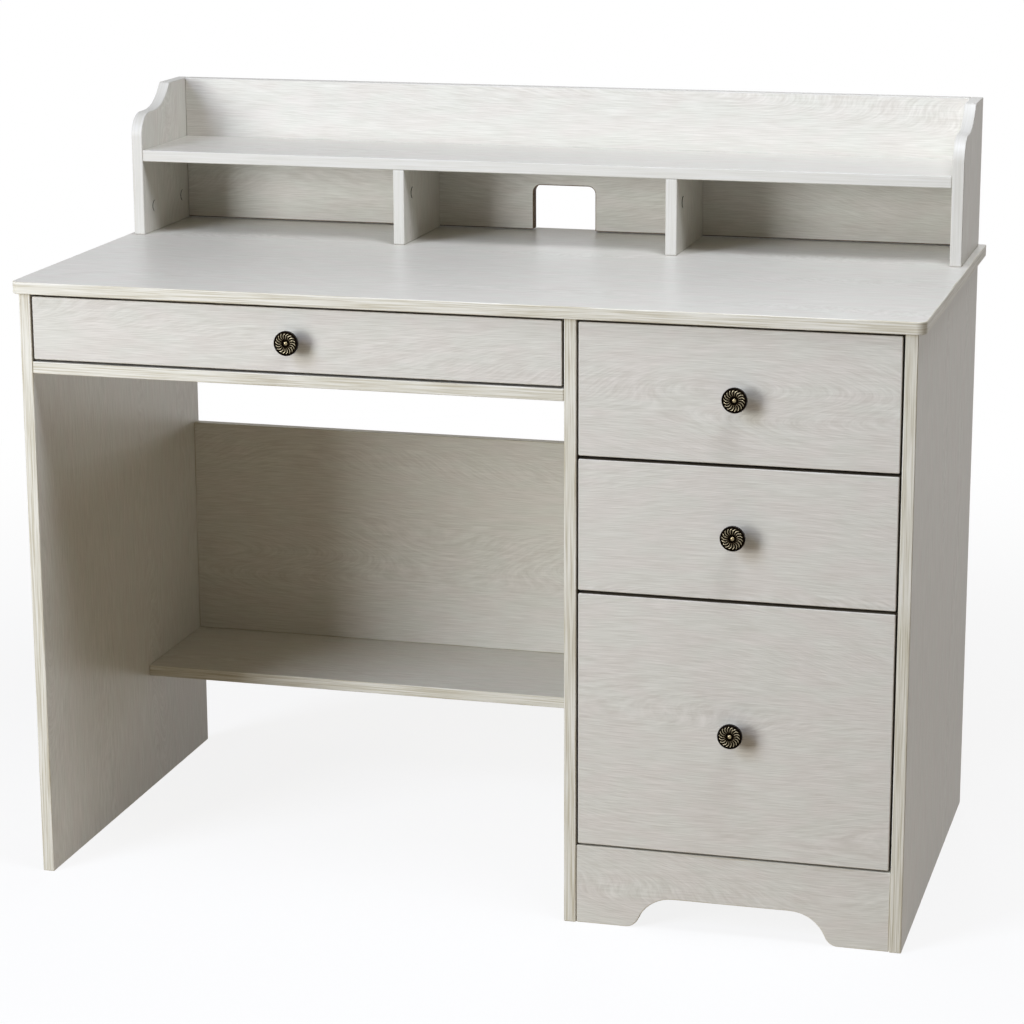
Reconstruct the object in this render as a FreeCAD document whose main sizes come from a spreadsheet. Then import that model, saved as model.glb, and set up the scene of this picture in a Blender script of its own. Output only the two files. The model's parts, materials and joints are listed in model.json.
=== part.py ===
"""Student desk with hutch: edge-banded boards held by cam fittings, and four drawers on roller runners.

The desk stands on z = 0 with its drawer fronts towards -y and its pedestal towards +x.
The origin is the middle of its footprint, knobs included. All sizes are millimetres.
"""
import FreeCAD, Part
import math
import os
import re
import Sketcher

Vector = FreeCAD.Vector
Rotation = FreeCAD.Rotation

# Driving dimensions: alias, value, what it measures
SIZES = (
    ("desk_width", 1120, "desktop, side to side"),
    ("desk_depth", 570, "desktop, front to back"),
    ("desk_height", 764, "floor to the desktop's upper face"),
    ("board", 15, "thickness of the carcass and hutch boards and of the drawer fronts"),
    ("top_board", 15, "thickness of the desktop"),
    ("top_corner", 12, "radius of the desktop's front corners"),
    ("side_overhang", 9, "desktop past the side panels' outer faces"),
    ("front_overhang", 5, "desktop past the panels' front edges"),
    ("rear_overhang", 10, "desktop past the panels' rear edges"),
    ("pedestal_width", 384, "clear width between the divider and the right panel"),
    ("pencil_opening", 84, "clear height of the pencil drawer's bay"),
    ("modesty_height", 299, "modesty panel, above the foot shelf"),
    ("modesty_inset", 5, "modesty panel in from the panels' rear edges"),
    ("foot_shelf_top", 175, "floor to the foot shelf's upper face"),
    ("foot_shelf_depth", 214, "foot shelf, forward from the panels' rear edges"),
    ("kick_height", 100, "kick plate and bottom panel, floor to top"),
    ("kick_recess", 2, "kick plate behind the panels' front edges"),
    ("arch_foot", 61, "flat foot left at each end of the kick plate"),
    ("arch_run", 60, "length of each S curve of the kick plate's arch"),
    ("arch_height", 40, "rise of the kick plate's arch"),
    ("arch_toe", 18, "radius of the lower half of each S curve"),
    ("hutch_height", 192, "hutch above the desktop"),
    ("hutch_depth", 177, "hutch ends, front to back"),
    ("hutch_bay", 98, "clear height under the hutch shelf"),
    ("hutch_back_gap", 1.2, "shadow gap under the hutch back"),
    ("hutch_corner", 30, "radius of the rounded front corner of a hutch end"),
    ("hutch_step", 14, "flat step between that corner and the cove"),
    ("cove_radius", 74, "radius of the cove of a hutch end"),
    ("cove_rise", 31, "height of the cove"),
    ("cove_ease", 6, "radius that eases the cove into the flat top"),
    ("notch_width", 85, "cable notch in the hutch back"),
    ("notch_height", 61, "top of the cable notch above the desktop"),
    ("notch_corner", 10, "radius of the notch's upper corners"),
    ("front_side_gap", 2.5, "drawer front to the panel beside it"),
    ("front_end_gap", 3, "drawer front to the board above or below it"),
    ("front_gap", 4, "between two drawer fronts of the pedestal"),
    ("shallow_front", 160, "height of the upper and middle drawer fronts"),
    ("drawer_board", 12, "thickness of drawer sides and backs"),
    ("drawer_back_gap", 75, "drawer back to the pedestal's back panel"),
    ("pencil_box_lift", 8, "pencil drawer box above the lower edge of its front"),
    ("box_lift", 14, "pedestal drawer boxes above the lower edge of their fronts"),
    ("pencil_box_drop", 16, "pencil drawer box below the upper edge of its front"),
    ("shallow_box_drop", 34, "upper and middle drawer boxes below the upper edge of their fronts"),
    ("file_box_drop", 66, "file drawer box below the upper edge of its front"),
    ("bottom_sheet", 3, "thickness of a drawer bottom"),
    ("groove_depth", 6, "depth of the groove that holds a drawer bottom"),
    ("groove_fit", 0.2, "clearance of a drawer bottom in its groove"),
    ("groove_lift", 9, "groove above the lower edge of the drawer sides"),
    ("runner_space", 12.5, "drawer side to carcass, filled by a runner"),
    ("runner_sheet", 1.2, "thickness of the runner steel"),
    ("runner_setback", 3, "runner behind the drawer front"),
    ("runner_end_gap", 7, "runner short of the rear edge of the drawer sides"),
    ("track_gap", 1.3, "lower flange of a carcass runner to the drawer runner's web"),
    ("lip_width", 6, "upper flange of a carcass runner"),
    ("rail_inset", 3.5, "running flange of a drawer runner in from the panel"),
    ("shoe_width", 10, "flange of a drawer runner under the drawer side"),
    ("rail_gap", 1, "rear roller to the running flange above it"),
    ("lip_gap", 0.8, "running flange to the carcass runner's lip"),
    ("roller_diameter", 19, "nylon roller"),
    ("roller_side", 3, "nylon roller in from the panel and from the drawer side"),
    ("roller_end", 14, "roller axis from the end of its runner"),
    ("run_clearance", 0.3, "between surfaces that run on each other"),
    ("pin_diameter", 5, "rivet that carries a roller"),
    ("pin_head_diameter", 7, "head of that rivet"),
    ("pin_head", 0.8, "thickness of that head"),
    ("cam_diameter", 15, "cam lock"),
    ("cam_floor", 2.5, "board left behind a cam lock"),
    ("cam_setback", 34, "cam axis from the end of its board"),
    ("cam_slot", 7.2, "slot of a cam lock that takes the bolt head"),
    ("cam_fit", 0.1, "cam lock to the wall of its bore"),
    ("bolt_diameter", 5, "cam bolt"),
    ("bolt_thread", 11, "cam bolt's length in the other board"),
    ("bolt_head_diameter", 6.4, "cam bolt's head"),
    ("bolt_head", 4, "length of that head"),
    ("bolt_bore", 7, "bore for the cam bolt in the end of a board"),
    ("bolt_fit", 0.5, "how much wider the bore of a bolt or screw is than its shank"),
    ("cam_edge", 60, "cam fittings in from the edge of a deep board"),
    ("hutch_cam_edge", 37, "cam fittings in from the edge of a hutch board"),
    ("screw_diameter", 3.5, "runner screw"),
    ("screw_floor", 3, "board left beyond a runner screw"),
    ("screw_head_diameter", 6, "head of a runner screw"),
    ("screw_head", 1.1, "thickness of that head"),
    ("screw_edge", 70, "runner screws in from the ends of a runner"),
    ("knob_diameter", 30, "knob"),
    ("knob_projection", 22, "knob in front of its drawer front"),
    ("knob_base", 16, "diameter of the knob's foot"),
    ("knob_base_height", 2.5, "thickness of the knob's foot"),
    ("knob_neck", 11, "diameter of the knob's neck"),
    ("knob_neck_height", 9, "top of the neck above the drawer front"),
    ("knob_rim_height", 15, "widest circle of the knob above the drawer front"),
    ("knob_rim", 2.5, "width of the raised rim"),
    ("knob_dish", 2, "depth of the dished face below the rim"),
    ("knob_button", 8, "diameter of the button in the middle of the face"),
    ("knob_button_height", 1.8, "button above the dished face"),
    ("knob_screw", 4, "diameter of the knob's screw"),
    ("knob_screw_grip", 8, "length of that screw in the knob"),
    ("knob_screw_head", 8, "diameter of that screw's head"),
    ("knob_screw_head_height", 2.4, "thickness of that head"),
)
ALIASES = {alias for alias, value, note in SIZES}

doc = FreeCAD.newDocument("StudentDesk")
sheet = doc.addObject("Spreadsheet::Sheet", "Sizes")
for row, (alias, value, note) in enumerate(SIZES, 1):
    sheet.set(f"A{row}", note)
    sheet.set(f"B{row}", str(value))
    sheet.setAlias(f"B{row}", alias)
doc.recompute()

# Planes that the pieces share, as expressions of the driving dimensions
TOP_FRONT = "(-(desk_depth - knob_projection + front_overhang) / 2)"
PANEL_FRONT = f"({TOP_FRONT} + front_overhang)"
PANEL_REAR = f"({TOP_FRONT} + desk_depth - rear_overhang)"
PANEL_DEPTH = "(desk_depth - front_overhang - rear_overhang)"
UNDER_TOP = "(desk_height - top_board)"
LEFT_OUT = "(side_overhang - desk_width / 2)"
LEFT_IN = f"({LEFT_OUT} + board)"
RIGHT_OUT = "(desk_width / 2 - side_overhang)"
RIGHT_IN = f"({RIGHT_OUT} - board)"
DIVIDER_RIGHT = f"({RIGHT_IN} - pedestal_width)"
DIVIDER_LEFT = f"({DIVIDER_RIGHT} - board)"
KNEE_WIDTH = f"({DIVIDER_LEFT} - {LEFT_IN})"
PENCIL_SHELF_TOP = f"({UNDER_TOP} - pencil_opening)"
MODESTY_REAR = f"({PANEL_REAR} - modesty_inset)"
KICK_REAR = f"({PANEL_FRONT} + kick_recess + board)"
HUTCH_FRONT = f"({PANEL_REAR} - hutch_depth)"
HUTCH_INNER_DEPTH = "(hutch_depth - board)"
HUTCH_WIDTH = f"({RIGHT_IN} - {LEFT_IN})"
HUTCH_BAY_WIDTH = f"(({HUTCH_WIDTH} - 2 * board) / 3)"
BOX_FRONT = f"({PANEL_FRONT} + board)"
DRAWER_DEPTH = f"({PANEL_REAR} - board - drawer_back_gap - {BOX_FRONT})"
RUNNER_FRONT = f"({BOX_FRONT} + runner_setback)"
RUNNER_LENGTH = f"({DRAWER_DEPTH} - runner_setback - runner_end_gap)"
TRACK_WIDTH = "(runner_space - runner_sheet - track_gap)"
RAIL_WIDTH = "(runner_space - rail_inset)"
ROLLER_WIDTH = "(runner_space - 2 * roller_side)"
CAM_HEIGHT = "(board - cam_floor)"

# Runner heights, measured up from the lower edge of the drawer sides
TRACK_TOP = "(-run_clearance)"
REAR_ROLLER = "(roller_diameter / 2)"
RAIL_UNDER = "(roller_diameter + rail_gap)"
FRONT_ROLLER = f"({RAIL_UNDER} - run_clearance - roller_diameter / 2)"
LIP_UNDER = f"({RAIL_UNDER} + runner_sheet + lip_gap)"
CARCASS_SCREW = f"({LIP_UNDER} - screw_head_diameter / 2 - lip_gap)"
DRAWER_SCREW = f"({RAIL_UNDER} - screw_head_diameter / 2)"

AXES = {"+x": Vector(1, 0, 0), "-x": Vector(-1, 0, 0), "+y": Vector(0, 1, 0),
        "-y": Vector(0, -1, 0), "+z": Vector(0, 0, 1), "-z": Vector(0, 0, -1)}
OPPOSITE = {"+": "-", "-": "+"}
SCREW_PLACES = ("screw_edge", f"{RUNNER_LENGTH} - screw_edge")
SCREWS = {
    "carcass_screw": ("screw_diameter", "board - screw_floor + runner_sheet"),
    "drawer_screw": ("screw_diameter", "drawer_board - screw_floor + runner_sheet"),
    "knob_screw": ("knob_screw", "board + knob_screw_grip"),
}
HUTCH_DIVIDERS = (
    ("hutch_left_divider", f"{LEFT_IN} + {HUTCH_BAY_WIDTH}"),
    ("hutch_right_divider", f"{LEFT_IN} + 2 * {HUTCH_BAY_WIDTH} + board"),
)

# Small round pieces have flat sides, because so many of them repeat
KNOB_SIDES = 16
ROLLER_SIDES = 18
CAM_SIDES = 8
SCREW_SIDES = 6
BOLT_SIDES = 6

nodes = {}
cutters = {}
fittings = {"cam_locks": [], "cam_bolts": [], "runner_screws": [], "carcass_runners": []}


def bound(text):
    """Expression with each alias read from the sheet."""
    return re.sub(r"[a-z_]+", lambda word: f"Sizes.{word[0]}" if word[0] in ALIASES else word[0], text)


def number(text):
    """Present value of an expression."""
    return float(sheet.evalExpression(bound(text)))


def bind(item, **expressions):
    """Ties properties of an object to expressions."""
    for name, text in expressions.items():
        item.setExpression(name, bound(text))


def place(item, point, turn=Rotation()):
    """Ties an object's position to three expressions, with a fixed turn."""
    item.Placement = FreeCAD.Placement(Vector(), turn)
    for axis, text in zip("xyz", point):
        item.setExpression(f"Placement.Base.{axis}", bound(text))
    return item


def reversed_axis(axis):
    """The axis that points the other way."""
    return OPPOSITE[axis[0]] + axis[1]


def moved(point, axis, text):
    """Point shifted along an axis by an expression."""
    return tuple(f"{at} {axis[0]} ({text})" if name == axis[1] else at for name, at in zip("xyz", point))


def facing(axis, side=None):
    """Turn that carries +z to an axis and, if a side is named, +x to that side."""
    if side is None:
        return Rotation(Vector(0, 0, 1), AXES[axis])
    return Rotation(AXES[side], AXES[axis].cross(AXES[side]), AXES[axis], "ZXY")


def block(name, corner, sides):
    """Rectangular block from its least corner and its three sides."""
    item = doc.addObject("Part::Box", name)
    bind(item, Length=sides[0], Width=sides[1], Height=sides[2])
    return place(item, corner)


def prism(name, count, diameter, height, point, axis):
    """Regular prism that starts at a point and runs along an axis."""
    item = doc.addObject("Part::Prism", name)
    item.Polygon = count
    bind(item, Circumradius=f"({diameter}) / 2", Height=height)
    return place(item, point, facing(axis))


def joined(name, pieces):
    """One solid from several that meet."""
    item = doc.addObject("Part::MultiFuse", name)
    item.Shapes = pieces
    return item


def cut_from(name, base, tools):
    """A piece less its cutters."""
    group = doc.addObject("Part::Compound", f"{name}_cutters")
    group.Links = tools
    item = doc.addObject("Part::Cut", f"{name}_cut")
    item.Base = base
    item.Tool = group
    return item


def copy_of(master, point, turn=Rotation()):
    """A further copy of a piece at its own place."""
    link = doc.addObject("App::Link", f"{master.Name}_copy")
    link.LinkedObject = master
    return place(link, point, turn)


def group_of(label, items):
    """One node that holds several separate solids."""
    item = doc.addObject("Part::Compound", label)
    item.Links = items
    nodes[label] = item


def cutter(label, tool):
    """Notes a bore or groove for a piece that is built later."""
    cutters.setdefault(label, []).append(tool)


def finish(label, blank):
    """Takes a piece's bores and grooves out of its blank and names the node."""
    nodes[label] = cut_from(label, blank, cutters[label]) if label in cutters else blank


def board(label, corner, sides):
    """Plain board, with its bores and grooves."""
    finish(label, block(f"{label}_blank", corner, sides))


def outline(body, role, corners):
    """Closed sketch on an origin plane of a body, through corners that are pairs of expressions.

    A corner with two more items starts an arc: its radius, then 1 where the centre
    lies to the left of the way round and -1 where it lies to the right.
    """
    plane = next(item for item in body.Origin.OriginFeatures if item.Role == role)
    sketch = body.newObject("Sketcher::SketchObject", f"{body.Name}_outline")
    sketch.AttachmentSupport = (plane, "")
    sketch.MapMode = "FlatFace"
    spots = [Vector(number(corner[0]), number(corner[1])) for corner in corners]
    sections = []
    for corner, start, end in zip(corners, spots, spots[1:] + spots[:1]):
        if len(corner) == 2:
            sections.append((sketch.addGeometry(Part.LineSegment(start, end)), 1, 2))
            continue
        radius, turn = number(corner[2]), corner[3]
        half = (end - start) / 2
        rise = math.sqrt(max(radius ** 2 - half.Length ** 2, 0))
        centre = start + half + Vector(-half.y, half.x).normalize() * turn * rise
        angles = [math.atan2(spot.y - centre.y, spot.x - centre.x) for spot in (start, end)][::turn]
        arc = Part.ArcOfCircle(Part.Circle(centre, Vector(0, 0, 1), radius), *angles)
        sections.append((sketch.addGeometry(arc), *(1, 2)[::turn]))
    for corner, section, before in zip(corners, sections, sections[-1:] + sections[:-1]):
        sketch.addConstraint(Sketcher.Constraint("Coincident", before[0], before[2], section[0], section[1]))
        for kind, text, axis in (("DistanceX", corner[0], -2), ("DistanceY", corner[1], -1)):
            if text == "0":
                sketch.addConstraint(Sketcher.Constraint("PointOnObject", section[0], section[1], axis))
                continue
            datum = sketch.addConstraint(
                Sketcher.Constraint(kind, -1, 1, section[0], section[1], number(text)))
            sketch.setExpression(f"Constraints[{datum}]", bound(text))
        if len(corner) > 2:
            datum = sketch.addConstraint(Sketcher.Constraint("Radius", section[0], number(corner[2])))
            sketch.setExpression(f"Constraints[{datum}]", bound(corner[2]))
    return sketch


def padded(name, role, corners, length, point, back=False):
    """Body padded from an outline; back pads against the plane's normal."""
    body = doc.addObject("PartDesign::Body", name)
    pad = body.newObject("PartDesign::Pad", f"{name}_pad")
    pad.Profile = outline(body, role, corners)
    pad.Reversed = back
    bind(pad, Length=length)
    body.Tip = pad
    return place(body, point)


def faceted(name, rings):
    """Solid of flat faces through coaxial rings, each a diameter and a height along +z."""
    turns = [2 * math.pi * step / KNOB_SIDES for step in range(KNOB_SIDES + 1)]
    loops = []
    for diameter, height in rings:
        radius, level = number(diameter) / 2, number(height)
        loops.append([Vector(radius * math.cos(turn), radius * math.sin(turn), level) for turn in turns])
    faces = [Part.Face(Part.makePolygon(loop)) for loop in (loops[0], loops[-1])]
    for lower, upper in zip(loops, loops[1:]):
        for here, there in zip(range(KNOB_SIDES), range(1, KNOB_SIDES + 1)):
            ring = [lower[here], lower[there], upper[there], upper[here], lower[here]]
            faces.append(Part.Face(Part.makePolygon(ring)))
    shell = Part.makeShell(faces)
    shell.sewShape()
    item = doc.addObject("Part::Feature", name)
    item.Shape = Part.makeSolid(shell)
    return item


def make_cam():
    """Cam lock: top at z = 0, slotted towards +x for the head of its bolt."""
    origin = ("0", "0", "0")
    blank = prism("cam_blank", CAM_SIDES, "cam_diameter", CAM_HEIGHT, origin, "-z")
    slot = block("cam_slot", ("-bolt_head", "-cam_slot / 2", "-board / 2 - cam_slot / 2"),
                 ("bolt_head + cam_diameter", "cam_slot", "cam_slot"))
    return cut_from("cam", blank, [slot])


def make_bolt():
    """Cam bolt: its thread runs to +z from the joint, its head lies in the cam."""
    tail = "cam_setback"
    shank = prism("bolt_shank", BOLT_SIDES, "bolt_diameter", f"{tail} + bolt_thread",
                  ("0", "0", f"-{tail}"), "+z")
    head = prism("bolt_head", BOLT_SIDES, "bolt_head_diameter", "bolt_head",
                 ("0", "0", f"-{tail} - bolt_head / 2"), "+z")
    return joined("bolt", [shank, head])


def make_screw(name, head_diameter, head):
    """Screw: its shank runs to +z from the seat of its head."""
    shank = prism(f"{name}_shank", BOLT_SIDES, *SCREWS[name], ("0", "0", "0"), "+z")
    cap = prism(f"{name}_cap", SCREW_SIDES, head_diameter, head, ("0", "0", "0"), "-z")
    return joined(name, [shank, cap])


def make_roller():
    """Nylon roller along +x with its bore, centred on its pin."""
    start = (f"-{ROLLER_WIDTH} / 2", "0", "0")
    tyre = prism("roller_tyre", ROLLER_SIDES, "roller_diameter", ROLLER_WIDTH, start, "+x")
    bore = prism("roller_bore", SCREW_SIDES, "pin_diameter + 3 * run_clearance", ROLLER_WIDTH, start, "+x")
    return cut_from("roller", tyre, [bore])


def make_carcass_runner():
    """Left carcass runner: a channel against x = 0 with the front roller's rivet, from y = 0."""
    height = f"({LIP_UNDER} - {TRACK_TOP} + 2 * runner_sheet)"
    channel = padded("carcass_channel", "XZ_Plane", (
        ("0", "0"),
        (TRACK_WIDTH, "0"),
        (TRACK_WIDTH, "runner_sheet"),
        ("runner_sheet", "runner_sheet"),
        ("runner_sheet", f"{height} - runner_sheet"),
        ("lip_width", f"{height} - runner_sheet"),
        ("lip_width", height),
        ("0", height),
    ), RUNNER_LENGTH, ("0", "0", f"{TRACK_TOP} - runner_sheet"), back=True)
    head_at = "runner_space - roller_side + run_clearance"
    axis = ("runner_sheet", "roller_end", FRONT_ROLLER)
    pin = prism("front_pin", SCREW_SIDES, "pin_diameter", f"{head_at} - runner_sheet", axis, "+x")
    head = prism("front_pin_head", SCREW_SIDES, "pin_head_diameter", "pin_head", (head_at, *axis[1:]), "+x")
    holes = [prism("carcass_hole", BOLT_SIDES, "screw_diameter + bolt_fit", "runner_sheet",
                   ("0", at, CARCASS_SCREW), "+x") for at in SCREW_PLACES]
    return cut_from("carcass_runner", joined("carcass_runner_blank", [channel, pin, head]), holes)


def make_drawer_runner():
    """Left drawer runner: a bent rail with the rear roller's rivet; the carcass wall is x = 0."""
    rail = f"({RAIL_WIDTH} - runner_sheet)"
    shoe = f"{RAIL_WIDTH} + shoe_width"
    height = f"({RAIL_UNDER} + 2 * runner_sheet)"
    profile = padded("drawer_rail", "XZ_Plane", (
        (rail, "0"),
        (shoe, "0"),
        (shoe, "runner_sheet"),
        (RAIL_WIDTH, "runner_sheet"),
        (RAIL_WIDTH, height),
        ("0", height),
        ("0", f"{height} - runner_sheet"),
        (rail, f"{height} - runner_sheet"),
    ), RUNNER_LENGTH, ("rail_inset", "0", "-runner_sheet"), back=True)
    web = "runner_space - runner_sheet"
    head_at = "roller_side - run_clearance"
    axis = (web, f"{RUNNER_LENGTH} - roller_end", REAR_ROLLER)
    pin = prism("rear_pin", SCREW_SIDES, "pin_diameter", f"{web} - ({head_at})", axis, "-x")
    head = prism("rear_pin_head", SCREW_SIDES, "pin_head_diameter", "pin_head", (head_at, *axis[1:]), "-x")
    holes = [prism("drawer_hole", BOLT_SIDES, "screw_diameter + bolt_fit", "runner_sheet",
                   (web, at, DRAWER_SCREW), "+x") for at in SCREW_PLACES]
    return cut_from("drawer_runner", joined("drawer_runner_blank", [profile, pin, head]), holes)


def mirrored(master):
    """The right-hand copy of a left-hand piece."""
    item = doc.addObject("Part::Mirroring", f"{master.Name}_right")
    item.Source = master
    item.Base = Vector()
    item.Normal = AXES["+x"]
    return item


def make_knob():
    """Round knob: a footed stem that flares to a dished face with a raised rim and a button."""
    flare = "(knob_rim_height - knob_neck_height)"
    face = "(knob_projection - knob_dish)"
    inside = "(knob_diameter - 2 * knob_rim)"
    body = faceted("knob_body", (
        ("knob_base", "0"),
        ("knob_base", "knob_base_height"),
        ("knob_neck", "knob_base_height + (knob_base - knob_neck) / 2"),
        ("knob_neck", "knob_neck_height"),
        ("(knob_neck + knob_diameter) / 2", f"knob_neck_height + 0.7 * {flare}"),
        ("knob_diameter - knob_rim", "knob_rim_height"),
        ("knob_diameter", "knob_rim_height + knob_rim / 2"),
        ("knob_diameter", "knob_projection - knob_rim"),
        ("knob_diameter - 0.6 * knob_rim", "knob_projection - 0.3 * knob_rim"),
        (f"{inside} + 0.6 * knob_rim", "knob_projection"),
        (inside, "knob_projection"),
        (f"{inside} - knob_dish", face),
        ("knob_button", face),
        ("0.75 * knob_button", f"{face} + 0.7 * knob_button_height"),
        ("0.35 * knob_button", f"{face} + knob_button_height"),
    ))
    bore = prism("knob_bore", BOLT_SIDES, "knob_screw + bolt_fit", "knob_screw_grip + bolt_fit",
                 ("0", "0", "0"), "+z")
    return cut_from("knob", body, [bore])


cam = make_cam()
bolt = make_bolt()
screw_masters = {
    "carcass_screw": make_screw("carcass_screw", "screw_head_diameter", "screw_head"),
    "drawer_screw": make_screw("drawer_screw", "screw_head_diameter", "screw_head"),
    "knob_screw": make_screw("knob_screw", "knob_screw_head", "knob_screw_head_height"),
}
knob = make_knob()
roller = make_roller()
carcass_runner = {"left": make_carcass_runner()}
carcass_runner["right"] = mirrored(carcass_runner["left"])
drawer_runner = {"left": make_drawer_runner()}
drawer_runner["right"] = mirrored(drawer_runner["left"])


def cam_joint(ended, faced, point, into, out):
    """Cam fitting where the end of one board meets the face of another.

    point is the middle of the end's thickness at the joint, into the axis from the
    end into the other board, and out the axis that the cam's bore opens to.
    """
    back = reversed_axis(into)
    seat = moved(moved(point, back, "cam_setback"), out, "board / 2")
    cutter(ended, prism("cam_bore", CAM_SIDES, "cam_diameter + 2 * cam_fit", CAM_HEIGHT, seat,
                        reversed_axis(out)))
    cutter(ended, prism("bolt_bore", BOLT_SIDES, "bolt_bore", "cam_setback", point, back))
    cutter(faced, prism("thread_bore", BOLT_SIDES, "bolt_diameter + bolt_fit",
                        "bolt_thread + bolt_fit", point, into))
    fittings["cam_locks"].append(copy_of(cam, seat, facing(out, into)))
    fittings["cam_bolts"].append(copy_of(bolt, point, facing(into)))


def drive_screw(label, screw, holder, point, axis):
    """Screw with its head at a point, and its bore in the piece that holds it."""
    sizes = [f"{size} + bolt_fit" for size in SCREWS[screw]]
    cutter(holder, prism("screw_bore", BOLT_SIDES, *sizes, point, axis))
    fittings.setdefault(label, []).append(copy_of(screw_masters[screw], point, facing(axis)))


def join_carcass():
    """Cam fittings of the desk and of the hutch."""
    half = "board / 2"
    front, rear = f"{PANEL_FRONT} + cam_edge", f"{PANEL_REAR} - cam_edge"
    for panel, at, out in (("left_side_panel", f"{LEFT_IN} - {half}", "+x"),
                           ("divider_panel", f"{DIVIDER_RIGHT} - {half}", "+x"),
                           ("right_side_panel", f"{RIGHT_IN} + {half}", "-x")):
        for depth in (front, rear):
            cam_joint(panel, "desktop", (at, depth, UNDER_TOP), "+z", out)
    spans = {"knee": (("left_side_panel", LEFT_IN, "-x"), ("divider_panel", DIVIDER_LEFT, "+x")),
             "pedestal": (("divider_panel", DIVIDER_RIGHT, "-x"), ("right_side_panel", RIGHT_IN, "+x")),
             "hutch": (("hutch_left_end", LEFT_IN, "-x"), ("hutch_right_end", RIGHT_IN, "+x"))}
    spots = (
        ("pencil_drawer_shelf", "knee", front, f"{PENCIL_SHELF_TOP} - {half}", "-z"),
        ("modesty_panel", "knee", f"{MODESTY_REAR} - {half}",
         "foot_shelf_top + modesty_height - cam_edge", "+y"),
        ("foot_shelf", "knee", f"{PANEL_REAR} - foot_shelf_depth / 2", f"foot_shelf_top - {half}", "-z"),
        ("pedestal_bottom_panel", "pedestal", "0", f"kick_height - {half}", "-z"),
        ("pedestal_back_panel", "pedestal", f"{PANEL_REAR} - {half}", f"{UNDER_TOP} - cam_edge", "-y"),
        ("kick_plate", "pedestal", f"{KICK_REAR} - {half}", "kick_height - board - cam_diameter", "+y"),
        ("hutch_shelf", "hutch", f"{HUTCH_FRONT} + hutch_cam_edge",
         f"desk_height + hutch_bay + {half}", "-z"),
        ("hutch_back_panel", "hutch", f"{PANEL_REAR} - {half}",
         "desk_height + hutch_height - hutch_cam_edge", "+y"),
    )
    for ended, span, depth, height, out in spots:
        for faced, at, into in spans[span]:
            cam_joint(ended, faced, (at, depth, height), into, out)
    for end, at, out in (("hutch_left_end", f"{LEFT_IN} - {half}", "+x"),
                         ("hutch_right_end", f"{RIGHT_IN} + {half}", "-x")):
        for depth in (f"{HUTCH_FRONT} + hutch_cam_edge", f"{PANEL_REAR} - hutch_cam_edge"):
            cam_joint(end, "desktop", (at, depth, "desk_height"), "-z", out)
    for name, start in HUTCH_DIVIDERS:
        cam_joint(name, "hutch_shelf", (f"{start} + {half}", f"{HUTCH_FRONT} + hutch_cam_edge",
                                        "desk_height + hutch_bay"), "+z", "+x")


def make_desk():
    """Desktop, panels, shelves and kick plate."""
    finish("desktop", padded("desktop_blank", "XY_Plane", (
        ("top_corner", "0"),
        ("desk_width - top_corner", "0", "top_corner", 1),
        ("desk_width", "top_corner"),
        ("desk_width", "desk_depth"),
        ("0", "desk_depth"),
        ("0", "top_corner", "top_corner", 1),
    ), "top_board", ("-desk_width / 2", TOP_FRONT, UNDER_TOP)))
    upright = ("board", PANEL_DEPTH, UNDER_TOP)
    board("left_side_panel", (LEFT_OUT, PANEL_FRONT, "0"), upright)
    board("divider_panel", (DIVIDER_LEFT, PANEL_FRONT, "0"), upright)
    board("right_side_panel", (RIGHT_IN, PANEL_FRONT, "0"), upright)
    board("pencil_drawer_shelf", (LEFT_IN, PANEL_FRONT, f"{PENCIL_SHELF_TOP} - board"),
          (KNEE_WIDTH, PANEL_DEPTH, "board"))
    board("modesty_panel", (LEFT_IN, f"{MODESTY_REAR} - board", "foot_shelf_top"),
          (KNEE_WIDTH, "board", "modesty_height"))
    board("foot_shelf", (LEFT_IN, f"{PANEL_REAR} - foot_shelf_depth", "foot_shelf_top - board"),
          (KNEE_WIDTH, "foot_shelf_depth", "board"))
    board("pedestal_bottom_panel", (DIVIDER_RIGHT, KICK_REAR, "kick_height - board"),
          ("pedestal_width", f"{PANEL_REAR} - board - {KICK_REAR}", "board"))
    board("pedestal_back_panel", (DIVIDER_RIGHT, f"{PANEL_REAR} - board", "kick_height - board"),
          ("pedestal_width", "board", f"{UNDER_TOP} - kick_height + board"))
    make_kick_plate()


def make_kick_plate():
    """Kick plate with an arch between two feet; each side of the arch is an S of two tangent arcs."""
    radii = "((arch_height ^ 2 + arch_run ^ 2) / (2 * arch_height))"
    upper = f"({radii} - arch_toe)"
    turn_run = f"(arch_run * arch_toe / {radii})"
    turn_rise = f"(arch_height * arch_toe / {radii})"
    finish("kick_plate", padded("kick_plate_blank", "XZ_Plane", (
        ("0", "0"),
        ("arch_foot", "0", "arch_toe", 1),
        (f"arch_foot + {turn_run}", turn_rise, upper, -1),
        ("arch_foot + arch_run", "arch_height"),
        ("pedestal_width - arch_foot - arch_run", "arch_height", upper, -1),
        (f"pedestal_width - arch_foot - {turn_run}", turn_rise, "arch_toe", 1),
        ("pedestal_width - arch_foot", "0"),
        ("pedestal_width", "0"),
        ("pedestal_width", "kick_height"),
        ("0", "kick_height"),
    ), "board", (DIVIDER_RIGHT, f"{PANEL_FRONT} + kick_recess", "0"), back=True))


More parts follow.
